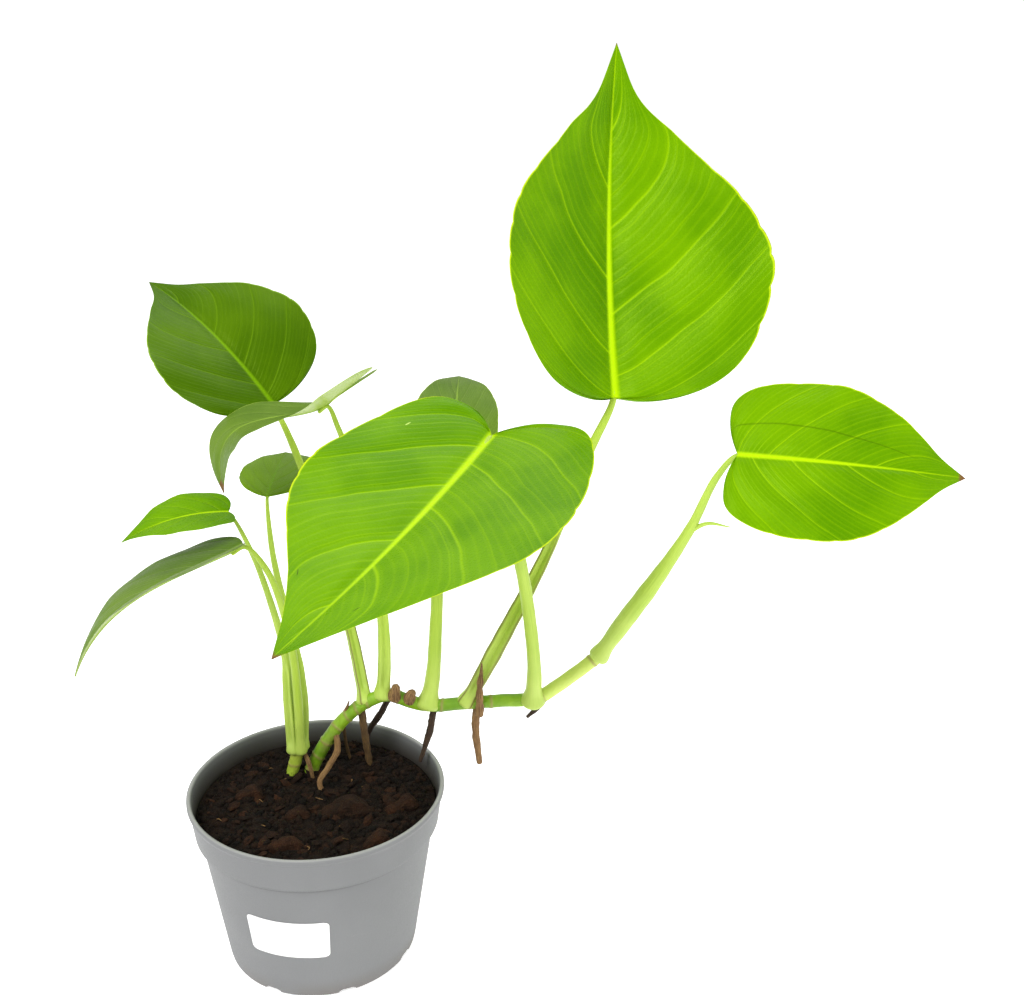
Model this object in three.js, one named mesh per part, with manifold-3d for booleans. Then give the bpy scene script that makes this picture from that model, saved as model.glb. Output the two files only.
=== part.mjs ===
// Potted monstera: nine leaves on one creeping stem, aerial roots, potting mix and a 12 cm nursery pot.
// Millimetres, +Z up. The origin is the centre of the pot's underside, on the surface that it stands on.
import * as THREE from 'three';
import { mergeVertices } from 'three/addons/utils/BufferGeometryUtils.js';
import Module from 'manifold-3d';

const wasm = await Module();
wasm.setup();

// Driving dimensions.
const GAP = 0.35; // clearance between neighbouring pieces
const WELD = 1e-3; // corners nearer than this are one corner

const POT = {
  rimRadius: 60, height: 85, baseRadius: 45,
  bandHeight: 18.4, bandFootRadius: 57.2, wallTopRadius: 54.8,
  wall: 1.4, floor: 1.8, lip: 0.9,
  beadHeight: 2.6, ledge: 0.8, insideLedge: 2, chamfer: 0.4,
  holeRadius: 4, holeCircle: 30, holeCount: 6, holeSides: 12,
  notchWidth: 7, notchHeight: 2.4, notchCount: 8, sides: 44,
};
// Lumps are two crossed waves: their height, and turns per millimetre along X and Y.
const SOIL = { surface: 75.5, slack: 0.2, brimSlack: 0.6, bump: 1.3, broad: [0.31, 0.27], fine: [-0.41, 0.53], fineShare: 0.6, rings: 6, sides: 36 };
const LABEL = { width: 38.1, height: 21.2, thickness: 0.3, middle: 36, bearing: -98.5, columns: 10, rows: 2 };
// Blade: the rib stands under the midrib and reaches a share of the half width; rows of the outline follow
// the powers and shares here, and the ripples run along the margin.
const BLADE = {
  thickness: 0.8, rib: 0.9, ribReach: 1 / 3, tipPower: 10, sidePower: 0.9, footStart: 0.28, footPower: 1.45,
  knee: 0.07, ripples: 4, ripplePhase: 1.3, lobePower: 1.2,
};
// A stalk is trimmed by a ball round its blade's base and by its neighbours' blades, both a little enlarged.
const TRIM = { ball: 1.8, lobe: 0.04, blade: 0.25, longer: 1 };

const COLOUR = {
  pot: 0x8c8c8c, label: 0xf4f4f2, soil: 0x2a1a12, bark: 0x5a3420,
  bright: 0x7fb800, dark: 0x4f8a16, dull: 0x6f8f55, olive: 0x5f8a1c,
  stem: 0x7f9a3a, shoot: 0xa9c25a, petiole: 0xa4c04f, root: 0x5a4632, paleRoot: 0xa08a6a, dry: 0x8a6f4c,
};

// A blade runs from base to end. Facing is the side that its upper face looks to. Half widths (left,
// right), lobe and tip are shares of its length; fold, curl, arch and hook bend it out of its plane.
const BLADES = [
  { name: 'upper', colour: COLOUR.bright, base: [137, 45, 262.5], end: [136, 98, 416.5], facing: [0.32, -0.86, 0.4],
    length: 163, halfWidth: [0.402, 0.453], lobe: 0.06, skew: 1.04, tip: 0.31,
    fold: 25, curl: -0.05, arch: -17, hook: 0, twist: 0, wave: 0.006, rows: 16, columns: 4 },
  { name: 'front', colour: COLOUR.bright, base: [81.5, 5, 255], end: [9, -120, 211.5], facing: [-0.26, -0.64, 0.73],
    length: 151, halfWidth: [0.465, 0.335], lobe: 0.134, skew: 1.17, tip: 0.32,
    fold: 12.7, curl: -0.11, arch: -8.5, hook: 0, twist: 0, wave: 0.004, rows: 16, columns: 4 },
  { name: 'right', colour: COLOUR.bright, base: [191, 22, 243], end: [288, 7, 238], facing: [-0.14, -0.79, 0.6],
    length: 98, halfWidth: [0.381, 0.379], lobe: 0.117, skew: 0.936, tip: 0.208,
    fold: 5, curl: 0.075, arch: 5, hook: 0, twist: 0, wave: 0.008, rows: 14, columns: 4 },
  { name: 'rear_left', colour: COLOUR.dark, base: [-23.5, 60, 253.5], end: [-88.5, 97.5, 304.5], facing: [0.245, -0.55, 0.8],
    length: 90.5, halfWidth: [0.456, 0.478], lobe: 0.01, skew: 0.952, tip: 0.286,
    fold: 15.7, curl: 0.083, arch: 14.8, hook: 0, twist: 0, wave: 0.006, rows: 14, columns: 4 },
  { name: 'edge_on', colour: COLOUR.dull, base: [6.5, 31, 261.5], end: [-39, 19, 223], facing: [-0.62, 0.16, 0.75],
    length: 78, halfWidth: [0.3, 0.22], lobe: 0.55, sinus: 0.8, skew: 0.95, tip: 0.12,
    fold: 10, curl: 0.02, arch: 5, hook: 34, twist: 44, wave: 0.006, rows: 12, columns: 3 },
  { name: 'shaded_rear', colour: COLOUR.dull, base: [61.5, 60, 222], end: [62, 122, 253.5], facing: [0.05, -0.5, 0.86],
    length: 69, halfWidth: [0.3, 0.31], lobe: 0.1, skew: 0.85, tip: 0.1,
    fold: 6, curl: 0.08, arch: 20, hook: 0, twist: 0, wave: 0.006, rows: 12, columns: 3 },
  { name: 'small_rear', colour: COLOUR.olive, base: [-27, 52, 210], end: [-26.5, 100, 217.5], facing: [0, -0.35, 0.9],
    length: 50, halfWidth: [0.34, 0.48], lobe: -0.03, skew: 0.9, tip: 0.14,
    fold: 10, curl: 0.08, arch: 3, hook: 0, twist: 0, wave: 0.006, rows: 10, columns: 3 },
  { name: 'small_left', colour: COLOUR.bright, base: [-38, 20, 213.5], end: [-82.5, 5, 204], facing: [0.02, -0.3, 0.95],
    length: 49.5, halfWidth: [0.28, 0.3], lobe: 0.1, skew: 0.95, tip: 0.25,
    fold: 12, curl: 0.08, arch: 9, hook: 0, twist: 0, wave: 0.006, rows: 10, columns: 3 },
  { name: 'low_left', colour: COLOUR.dull, base: [-28.5, 5, 203.5], end: [-94, -35, 158.5], facing: [-0.11, 0.16, 0.91],
    length: 104, halfWidth: [0.23, 0.28], lobe: 0.02, skew: 0.95, tip: 0.25,
    fold: 15, curl: 0.1, arch: 9, hook: 14.5, twist: -4, wave: 0.003, rows: 14, columns: 3 },
];

// Each stalk's route starts on the stem's centre line, and its radii run from that end to the blade.
const STALKS = [
  { name: 'upper', radii: [3, 3.9, 3.2, 2.1], route: [[69, 30, 112], [75, 31, 123], [88, 33, 149], [106.5, 36, 187.5], [126.5, 42, 238.5], [137, 45, 262.5]] },
  { name: 'front', radii: [3, 3.1, 2.9, 2.4], route: [[102, 27.5, 115.5], [102, 23, 136.5], [98, 18, 173], [93, 13, 202], [87.5, 8, 234.5], [81.5, 5, 255]] },
  { name: 'right', radii: [3.2, 4.2, 3.3, 1.7], route: [[133, 30, 138], [143.5, 29, 155.5], [158, 27, 179.5], [172.5, 25, 206.5], [183, 25, 231.5], [191, 22, 243]] },
  { name: 'rear_left', radii: [2.6, 2.7, 2.3, 1.7], route: [[20, 29, 112], [17.5, 35, 121], [13, 40, 143], [5, 46, 172], [-8, 53, 218.5], [-19, 58, 245.5], [-24, 60, 253.5]] },
  { name: 'edge_on', radii: [2.8, 3, 2.2, 1.4], route: [[28.5, 29.5, 116.5], [29.5, 31, 131.5], [29.5, 32, 151.5], [26.5, 32, 188.5], [17, 32, 233], [11.5, 31, 251], [6.5, 31, 261.5]] },
  { name: 'shaded_rear', radii: [3, 3.3, 2.6, 1.8], route: [[50.5, 30, 111], [53, 33, 125.5], [54.5, 38, 152.5], [56, 47, 190.5], [59.5, 57, 216], [61.5, 60, 222]] },
  { name: 'small_rear', radii: [1.9, 2.6, 1.9, 1.3], route: [[-11, 24, 90], [-10.5, 26, 116], [-14, 30, 146], [-20, 37, 168], [-24.5, 44, 188], [-27, 52, 210]] },
  { name: 'small_left', radii: [1.9, 2.3, 1.7, 1.2], route: [[-14.5, 20.5, 90], [-15, 20, 118], [-15.5, 20, 139.5], [-20, 20, 164], [-28.5, 20, 194], [-38, 20, 213.5]] },
  { name: 'low_left', radii: [1.8, 2.1, 1.7, 1.3], route: [[-11, 20, 90], [-10.5, 17.5, 118.5], [-11, 14.5, 144], [-14, 12, 168.5], [-19.5, 8.5, 190], [-28.5, 5, 203.5]] },
];

const MAIN_STEM = { radii: [3.6, 3.3, 3.2, 3.1, 3, 3.1], route: [
  [-13, 24.5, 52], [-8, 25, 73.5], [-1.5, 26, 88], [10.5, 28, 104.5], [23.5, 29, 114], [32, 30, 116], [42, 30, 112.5],
  [51.5, 30, 110.5], [70, 30, 112], [86, 30, 113.5], [104, 30, 115.5], [115, 30, 123], [134, 30, 139]] };
const SIDE_SHOOT = { radii: [3, 3.3, 3.6], route: [[-21, 22, 52], [-17, 22, 73.5], [-14, 22, 84], [-12.5, 22, 94]] };

// Aerial roots leave the stem's centre line; those that reach the mix go a few millimetres into it.
const ROOTS = [
  { name: 'root_tan_ringed', colour: COLOUR.paleRoot, radii: [1.6, 1.5, 1.2], route: [[5, 27, 97], [7, 20, 91], [3, 14, 84.5], [-0.5, 9, 79.5], [3, 6, 72]] },
  { name: 'root_fine', colour: COLOUR.root, radii: [0.9, 0.8, 0.7], route: [[9, 29, 102], [9, 34, 87], [11, 38, 72]] },
  { name: 'root_thick', colour: COLOUR.root, radii: [1.9, 1.8, 1.5], route: [[18, 29, 110], [19.5, 31, 89], [21.5, 33, 70]] },
  { name: 'root_dark_rear', colour: COLOUR.root, radii: [1.5, 1.6, 1.2], route: [[32, 31, 115], [26.5, 38, 101.5], [19, 44, 86.5], [17, 45, 73]] },
  { name: 'root_over_rim', colour: COLOUR.root, radii: [1.6, 1.8, 0.9], route: [[54, 30.5, 110.5], [51, 28, 95.5], [47, 22, 84]] },
  { name: 'root_hanging', colour: COLOUR.paleRoot, radii: [1.7, 2, 1.5], route: [[74.5, 30, 112], [74, 29, 97.5], [76, 28, 80]] },
  { name: 'root_short', colour: COLOUR.root, radii: [1.4, 1.5, 0.9], route: [[109.5, 30, 119], [105.5, 33, 109.5], [99.5, 34, 102.5]] },
  { name: 'root_of_shoot', colour: COLOUR.dry, radii: [1, 1.1, 0.9], route: [[-13, 23, 93], [-8, 20, 86], [-5.5, 17.5, 79], [-5, 17, 72]] },
];

// Dry remains of older leaves on the stem.
const REMAINS = [
  { name: 'cut_stub_left', radii: [2.4, 2.6, 1.9], route: [[34.5, 29, 115], [35, 26, 119.5], [35.5, 24.5, 123.5]] },
  { name: 'cut_stub_right', radii: [2.2, 2.5, 1.8], route: [[41.5, 29.5, 112.5], [42, 26.5, 116.5], [43.5, 25, 120]] },
  { name: 'dry_bract', radii: [2.2, 1.9, 0.5], route: [[76, 26, 108], [76, 25.3, 120], [77, 25, 136]] },
  { name: 'dry_spike', radii: [1.1, 1, 0.4], route: [[10, 28, 104], [11, 27.5, 109], [12.5, 27, 114]] },
];

// The free tip of the sheath on the right stalk.
const SHEATH_TIP = { radii: [1.6, 1.1, 0.4], route: [[170, 25, 203], [178.5, 23.5, 209.5], [190, 22, 208.5]] };

// Bark chips: centre, half sizes, and turn about Z in degrees. They lie half sunk in the mix.
const CHIPS = [
  { centre: [14, -7, 75], half: [13, 8, 4.6], turn: 15 },
  { centre: [-7, -12, 75], half: [7, 5, 3.8], turn: -30 },
  { centre: [42, -2, 74.6], half: [8, 5, 3.8], turn: 60 },
  { centre: [-33, 4, 75], half: [7, 6, 3.6], turn: 20 },
  { centre: [32, -31, 74.8], half: [8, 5, 3.8], turn: -45 },
  { centre: [-8, -36, 74.8], half: [9, 5, 3.8], turn: 5 },
];

// Solids.
const vec = (p) => new THREE.Vector3(...p);
const lerp = THREE.MathUtils.lerp;

// Merges shared vertices by position alone and drops the triangles that have shrunk to nothing.
function closed(geometry) {
  geometry.deleteAttribute('normal');
  geometry.deleteAttribute('uv');
  const merged = mergeVertices(geometry, WELD);
  const kept = [];
  for (let i = 0; i < merged.index.count; i += 3) {
    const [a, b, c] = [0, 1, 2].map((k) => merged.index.getX(i + k));
    if (a !== b && b !== c && a !== c) kept.push(a, b, c);
  }
  merged.setIndex(kept);
  return merged;
}

// Moves every vertex of a geometry by a function of its place.
function reshape(geometry, move) {
  const place = geometry.getAttribute('position');
  const p = new THREE.Vector3();
  for (let i = 0; i < place.count; i += 1) {
    p.fromBufferAttribute(place, i);
    place.setXYZ(i, ...move(p.clone()));
  }
  return geometry;
}

function toSolid(geometry) {
  const vertProperties = geometry.getAttribute('position').array;
  const triVerts = Uint32Array.from(geometry.index.array);
  return new wasm.Manifold(new wasm.Mesh({ numProp: 3, vertProperties, triVerts }));
}

function toGeometry(solid) {
  const { vertProperties, triVerts } = solid.getMesh();
  const geometry = new THREE.BufferGeometry();
  geometry.setAttribute('position', new THREE.BufferAttribute(vertProperties, 3));
  geometry.setIndex(new THREE.BufferAttribute(triVerts, 1));
  return geometry;
}

// Cuts the tools out of a piece, and drops any crumb that the cuts leave loose.
function cut(geometry, tools) {
  const left = tools.reduce((body, tool) => body.subtract(toSolid(tool)), toSolid(geometry));
  return toGeometry(left.decompose().reduce((main, part) => (part.volume() > main.volume() ? part : main)));
}

// Value at v, 0 to 1, along a list of evenly spaced values.
function along(values, v) {
  const at = v * (values.length - 1);
  const i = Math.min(Math.floor(at), values.length - 2);
  return lerp(values[i], values[i + 1], at - i);
}

// A cylinder bent along a smooth curve through the route's points, its radius following the list.
function limb({ route, radii }, { sides = 8, step = 9, extra = 0, longer = 0 } = {}) {
  const points = route.map(vec);
  if (longer) {
    points[0].add(points[0].clone().sub(points[1]).setLength(longer));
    points.at(-1).add(points.at(-1).clone().sub(points.at(-2)).setLength(longer));
  }
  const curve = new THREE.CatmullRomCurve3(points, false, 'centripetal');
  const segments = Math.max(4, Math.round(curve.getLength() / step));
  const { normals, binormals } = curve.computeFrenetFrames(segments, false);
  const geometry = reshape(new THREE.CylinderGeometry(1, 1, 1, sides, segments), (p) => {
    const i = Math.round((p.y + 0.5) * segments);
    const r = along(radii, i / segments) + extra;
    return curve.getPointAt(i / segments).addScaledVector(normals[i], p.x * r).addScaledVector(binormals[i], -p.z * r);
  });
  return closed(geometry);
}

const swollen = (piece, options) => limb(piece, { ...options, extra: GAP, longer: TRIM.longer });

// Flat outline: s runs along the margin from the sinus (0) to the tip (1), t from midrib to margin.
function flatPoint(leaf, s, t, halfWidth) {
  const { length, lobe, skew, tip, sinus = BLADE.lobePower } = leaf;
  const reach = length * (1 - tip) * (1 - Math.cos(Math.PI * s)) / 2 + tip * length * s ** BLADE.tipPower;
  const marginX = reach - lobe * length * Math.sin(Math.PI * Math.min(2 * s, 1)) ** sinus;
  const marginY = halfWidth * length * Math.max(Math.sin(Math.PI * s ** skew), 0) ** BLADE.sidePower;
  const pastFoot = THREE.MathUtils.clamp((s - BLADE.footStart) / (1 - BLADE.footStart), 0, 1);
  const foot = length * pastFoot ** BLADE.footPower;
  const kneeX = (foot + marginX) / 2 - BLADE.knee * length * Math.sin(Math.PI * s);
  return {
    x: (1 - t) ** 2 * foot + 2 * t * (1 - t) * kneeX + t * t * marginX,
    y: t * marginY,
  };
}

// Bends the flat outline along the midrib's curve, folds it, curls it and ripples its margin. The lobes
// behind the base carry straight on from the midrib's start.
function bladePoint(leaf, s, t, side, lift) {
  const halfWidth = leaf.halfWidth[side < 0 ? 0 : 1];
  const { x, y } = flatPoint(leaf, s, t, halfWidth);
  const start = vec(leaf.base);
  const finish = vec(leaf.end);
  const chord = finish.clone().sub(start);
  const up = vec(leaf.facing).projectOnPlane(chord.clone().normalize()).normalize();
  const rise = start.clone().addScaledVector(chord, 1 / 3).addScaledVector(up, leaf.arch * 2 / 3);
  const fall = start.clone().addScaledVector(chord, 2 / 3).addScaledVector(up, leaf.arch * 2 / 3 + leaf.hook);
  const u = Math.max(x / leaf.length, 0);
  const v = 1 - u;
  const rib = new THREE.Vector3()
    .addScaledVector(start, v ** 3).addScaledVector(rise, 3 * v * v * u)
    .addScaledVector(fall, 3 * v * u * u).addScaledVector(finish, u ** 3)
    .addScaledVector(rise.clone().sub(start), 3 * Math.min(x / leaf.length, 0));
  const ahead = new THREE.Vector3()
    .addScaledVector(rise.clone().sub(start), v * v).addScaledVector(fall.clone().sub(rise), 2 * v * u)
    .addScaledVector(finish.clone().sub(fall), u * u).normalize();
  const across = new THREE.Vector3().crossVectors(ahead, up).normalize();
  const normal = new THREE.Vector3().crossVectors(across, ahead);
  const twist = THREE.MathUtils.degToRad(leaf.twist) * u;
  across.applyAxisAngle(ahead, twist);
  normal.applyAxisAngle(ahead, twist);
  const fold = THREE.MathUtils.degToRad(leaf.fold);
  const reach = halfWidth * leaf.length;
  const phase = 2 * Math.PI * BLADE.ripples * s + (side > 0 ? BLADE.ripplePhase : 0);
  const ripple = leaf.wave * leaf.length * t ** 3 * Math.sin(phase) * Math.sin(Math.PI * s);
  const height = y * Math.sin(fold) - leaf.curl * y * y / reach + ripple + lift;
  return rib.addScaledVector(across, side * y * Math.cos(fold)).addScaledVector(normal, height);
}

function blade(leaf, extra = 0) {
  const { rows, columns } = leaf;
  const slab = new THREE.BoxGeometry(2, 1, 1, 2 * columns, 1, rows);
  return closed(reshape(slab, (p) => {
    const s = p.z + 0.5;
    const t = Math.abs(p.x);
    const under = p.y < 0 ? BLADE.rib * Math.max(0, 1 - t / BLADE.ribReach) * (1 - s) : 0;
    const lift = Math.sign(p.y) * (BLADE.thickness / 2 + extra) - under;
    return bladePoint(leaf, s, t, p.x < 0 ? 1 : -1, lift);
  }));
}

const bandFoot = POT.height - POT.bandHeight;
const wallRadius = (z) => lerp(POT.baseRadius, POT.wallTopRadius, z / bandFoot);
const disc = (x, z) => new THREE.Vector2(x, z);

// Turns a profile of (radius, height) pairs about Z.
const turned = (profile, sides) => closed(new THREE.LatheGeometry(profile, sides).rotateX(Math.PI / 2));

function drainage() {
  const tools = [];
  for (let i = 0; i < POT.holeCount; i += 1) {
    const turn = i * 2 * Math.PI / POT.holeCount;
    const hole = new THREE.CylinderGeometry(POT.holeRadius, POT.holeRadius, 4 * POT.floor, POT.holeSides).rotateX(Math.PI / 2);
    tools.push(closed(hole.translate(POT.holeCircle * Math.cos(turn), POT.holeCircle * Math.sin(turn), 0)));
  }
  for (let i = 0; i < POT.notchCount; i += 1) {
    const turn = (i + 0.5) * 2 * Math.PI / POT.notchCount;
    const notch = new THREE.BoxGeometry(4 * POT.wall, POT.notchWidth, 2 * POT.notchHeight).translate(POT.baseRadius, 0, 0);
    tools.push(closed(notch.rotateZ(turn)));
  }
  return tools;
}

function pot() {
  const { rimRadius, height, baseRadius, bandFootRadius, wallTopRadius, wall, floor, lip, sides } = POT;
  const { beadHeight, ledge, insideLedge, chamfer } = POT;
  const profile = [
    disc(0, 0), disc(baseRadius, 0), disc(wallTopRadius, bandFoot), disc(bandFootRadius, bandFoot + ledge),
    disc(rimRadius - lip, height - beadHeight - chamfer), disc(rimRadius, height - beadHeight), disc(rimRadius, height),
    disc(rimRadius - wall - lip, height), disc(bandFootRadius - wall, bandFoot + insideLedge),
    disc(wallTopRadius - wall, bandFoot), disc(wallRadius(floor) - wall, floor), disc(0, floor),
  ];
  return cut(turned(profile, sides), drainage());
}

function soil(tools) {
  const { surface, slack, brimSlack, bump, broad, fine, fineShare, rings, sides } = SOIL;
  const clear = POT.wall + GAP + slack;
  const brim = lerp(POT.bandFootRadius, POT.rimRadius - POT.lip, (surface - bandFoot) / POT.bandHeight) - POT.wall - GAP - brimSlack;
  const profile = [disc(0, POT.floor + GAP), disc(wallRadius(POT.floor) - clear, POT.floor + GAP), disc(wallRadius(bandFoot) - clear, bandFoot)];
  for (let i = 0; i <= rings; i += 1) profile.push(disc(brim * (1 - i / rings), surface));
  const heap = reshape(turned(profile, sides), (p) => {
    const inside = 1 - (Math.hypot(p.x, p.y) / brim) ** 6;
    const lump = Math.sin(broad[0] * p.x + 1) * Math.cos(broad[1] * p.y) + fineShare * Math.sin(fine[0] * p.x + fine[1] * p.y);
    return p.z < surface - 1 ? p : p.setZ(surface + bump * lump * Math.max(inside, 0));
  });
  return cut(heap, tools);
}

function label() {
  const { width, height, thickness, middle, bearing, columns, rows } = LABEL;
  const slope = (POT.wallTopRadius - POT.baseRadius) / bandFoot;
  return closed(reshape(new THREE.BoxGeometry(1, 1, 1, columns, 1, rows), (p) => {
    const z = middle + p.z * height / Math.hypot(1, slope);
    const turn = THREE.MathUtils.degToRad(bearing) + p.x * width / wallRadius(middle);
    const radius = wallRadius(z) + GAP + thickness * (0.5 - p.y);
    return new THREE.Vector3(radius * Math.cos(turn), radius * Math.sin(turn), z);
  }));
}

// A lumpy, flattened chip of bark.
function chip({ centre, half, turn }, extra = 0) {
  const lump = reshape(new THREE.IcosahedronGeometry(1, 1), (p) => {
    const rough = 1 + 0.1 * Math.sin(5 * p.x + centre[0]) * Math.cos(4 * p.y - centre[1]);
    return new THREE.Vector3(...half).addScalar(extra).multiply(p).multiplyScalar(rough);
  });
  return closed(lump.rotateZ(THREE.MathUtils.degToRad(turn)).translate(...centre));
}

const plant = new THREE.Group();

function add(name, geometry, color, roughness = 0.6) {
  geometry.computeVertexNormals();
  const mesh = new THREE.Mesh(geometry, new THREE.MeshStandardMaterial({ color, roughness, metalness: 0 }));
  mesh.name = name;
  plant.add(mesh);
}

const stems = [MAIN_STEM, SIDE_SHOOT];
const stemTools = stems.map((piece) => swollen(piece));
const bladeTools = BLADES.map((leaf) => blade({ ...leaf, lobe: leaf.lobe + TRIM.lobe }, GAP + TRIM.blade));
const stalkTools = STALKS.map((stalk) => swollen(stalk));

add('pot', pot(), COLOUR.pot, 0.65);
add('label', label(), COLOUR.label, 0.8);
add('main_stem', limb(MAIN_STEM), COLOUR.stem, 0.5);
add('side_shoot', limb(SIDE_SHOOT, { step: 7 }), COLOUR.shoot, 0.5);

BLADES.forEach((leaf) => add(`leaf_${leaf.name}`, blade(leaf), leaf.colour, 0.35));

// A stalk is cut by the stem, by the blades and by the stalks listed before it, and stops short of
// its own blade's base.
STALKS.forEach((stalk, i) => {
  const end = closed(new THREE.IcosahedronGeometry(stalk.radii.at(-1) + TRIM.ball, 1).translate(...stalk.route.at(-1)));
  add(`petiole_${stalk.name}`, cut(limb(stalk), [...stemTools, end, ...bladeTools, ...stalkTools.slice(0, i)]), COLOUR.petiole, 0.5);
});

const ofRight = STALKS.findIndex((stalk) => stalk.name === 'right');
add('sheath_tip', cut(limb(SHEATH_TIP, { sides: 6, step: 4 }), [stalkTools[ofRight]]), COLOUR.petiole, 0.5);

const earlier = [];
[...ROOTS, ...REMAINS].forEach((piece) => {
  const shape = cut(limb(piece, { sides: 6, step: 5 }), [...stemTools, ...stalkTools, ...earlier]);
  earlier.push(swollen(piece, { sides: 6, step: 5 }));
  add(piece.name, shape, piece.colour ?? COLOUR.dry, 0.8);
});

CHIPS.forEach((piece, i) => add(`bark_chip_${i + 1}`, chip(piece), COLOUR.bark, 0.95));
const buried = [...stemTools, ...earlier.slice(0, ROOTS.length), ...CHIPS.map((piece) => chip(piece, GAP))];
add('potting_soil', soil(buried), COLOUR.soil, 0.95);

export default plant;
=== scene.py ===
import bmesh
import bpy
import numpy as np
from mathutils import Matrix, Vector


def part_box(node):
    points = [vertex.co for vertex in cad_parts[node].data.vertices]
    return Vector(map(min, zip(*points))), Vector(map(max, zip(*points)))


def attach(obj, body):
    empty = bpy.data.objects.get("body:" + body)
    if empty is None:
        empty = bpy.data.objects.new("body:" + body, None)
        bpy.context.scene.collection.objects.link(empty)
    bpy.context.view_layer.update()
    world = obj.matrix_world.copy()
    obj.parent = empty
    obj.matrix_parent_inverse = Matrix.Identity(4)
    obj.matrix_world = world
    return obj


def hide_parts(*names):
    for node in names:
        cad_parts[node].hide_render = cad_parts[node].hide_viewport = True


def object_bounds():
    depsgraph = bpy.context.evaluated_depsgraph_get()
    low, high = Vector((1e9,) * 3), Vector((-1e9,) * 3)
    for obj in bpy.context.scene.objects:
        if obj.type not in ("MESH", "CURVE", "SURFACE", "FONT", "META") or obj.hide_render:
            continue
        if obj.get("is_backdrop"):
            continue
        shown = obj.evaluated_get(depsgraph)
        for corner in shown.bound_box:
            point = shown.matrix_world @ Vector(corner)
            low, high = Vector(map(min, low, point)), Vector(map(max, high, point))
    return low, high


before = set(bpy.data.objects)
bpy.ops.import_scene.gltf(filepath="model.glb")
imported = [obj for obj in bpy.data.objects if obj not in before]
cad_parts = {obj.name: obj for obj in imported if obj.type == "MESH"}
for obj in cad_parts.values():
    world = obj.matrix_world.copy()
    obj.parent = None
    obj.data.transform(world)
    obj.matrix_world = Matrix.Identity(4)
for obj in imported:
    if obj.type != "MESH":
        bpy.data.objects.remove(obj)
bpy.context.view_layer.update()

mm = 0.001
scene = bpy.context.scene
random = np.random.default_rng(7)


def unit(v):
    # a vector divided by its own length
    v = np.asarray(v, float)
    return v / np.maximum(np.linalg.norm(v, axis=-1, keepdims=True), 1e-12)


def smooth(low, high, x):
    # 0 below low, 1 above high, and 3h*h - 2h*h*h between them
    h = np.clip((np.asarray(x, float) - low) / (high - low), 0, 1)
    return h * h * (3 - 2 * h)


def bell(x, width):
    # e to the power of minus (x / width) squared
    return np.exp(-((np.asarray(x, float) / width) ** 2))


def noise(places, size, seed=0):
    # value noise: a random height, -1 to 1, at each corner of a lattice, blended smoothly between them
    q = np.asarray(places, float) / size + 500.5 + seed * 3.7
    cell = np.floor(q).astype(np.int64)
    f = q - cell
    f = f * f * (3 - 2 * f)
    total = 0
    for corner in range(8):
        step = np.array([corner & 1, corner >> 1 & 1, corner >> 2 & 1])
        a, b, c = np.moveaxis(cell + step, -1, 0)
        h = (a * 73856093) ^ (b * 19349663) ^ (c * 83492791) ^ (seed * 97561)
        h = ((h ^ (h >> 13)) * 1274126177) & 0x7FFFFFFF
        weight = np.prod(np.where(step, f, 1 - f), axis=-1)
        total = total + weight * (((h ^ (h >> 15)) & 0xFFFF) / 32767.5 - 1)
    return total


def layered(places, size, layers=4, seed=0):
    # noise added to itself at half the size and half the height, layer by layer
    return sum(noise(places, size / 2**k, seed + k) / 2**k for k in range(layers))


def colour(r, g, b):
    # screen values 0 to 255 made linear, with alpha 1
    c = np.array([r, g, b]) / 255
    lin = np.where(c > 0.04045, ((c + 0.055) / 1.055) ** 2.4, c / 12.92)
    return (*[float(x) for x in lin], 1.0)


def gridQuads(rows, columns):
    # corner numbers of the quads between rows x columns points, closed round the columns
    i, j = np.meshgrid(np.arange(rows - 1), np.arange(columns), indexing="ij")
    k = (j + 1) % columns
    here, onward = i * columns, (i + 1) * columns
    return np.stack([here + j, here + k, onward + k, onward + j], -1).reshape(-1, 4)


def makePiece(name, points, faces, material, slot, nodes=(), uv=None, values=None, flat=False):
    # a mesh from points in mm and faces; doubles are merged and the faces turned outwards
    points = np.asarray(points, float).reshape(-1, 3) * mm
    corners = faces.ravel().astype(np.int32)
    mesh = bpy.data.meshes.new(name)
    mesh.vertices.add(len(points))
    mesh.vertices.foreach_set("co", points.ravel())
    mesh.loops.add(len(corners))
    mesh.loops.foreach_set("vertex_index", corners)
    mesh.polygons.add(len(faces))
    mesh.polygons.foreach_set("loop_start", np.arange(0, len(corners), faces.shape[1], dtype=np.int32))
    mesh.update(calc_edges=True)
    if uv is not None:
        flatPlaces = np.asarray(uv, np.float32).reshape(-1, 2)[corners]
        mesh.uv_layers.new(name="UVMap").data.foreach_set("uv", flatPlaces.ravel())
    for key, value in (values or {}).items():
        layer = mesh.attributes.new(key, "FLOAT", "POINT")
        layer.data.foreach_set("value", np.asarray(value, np.float32).ravel())
    b = bmesh.new()
    b.from_mesh(mesh)
    bmesh.ops.remove_doubles(b, verts=b.verts, dist=1e-6)
    bmesh.ops.dissolve_degenerate(b, edges=b.edges, dist=1e-6)
    bmesh.ops.recalc_face_normals(b, faces=b.faces)
    b.to_mesh(mesh)
    b.free()
    mesh.polygons.foreach_set("use_smooth", np.full(len(mesh.polygons), not flat))
    mesh.materials.append(material)
    piece = bpy.data.objects.new(name, mesh)
    scene.collection.objects.link(piece)
    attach(piece, "root")
    if nodes:
        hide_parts(*nodes)
    return piece


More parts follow.
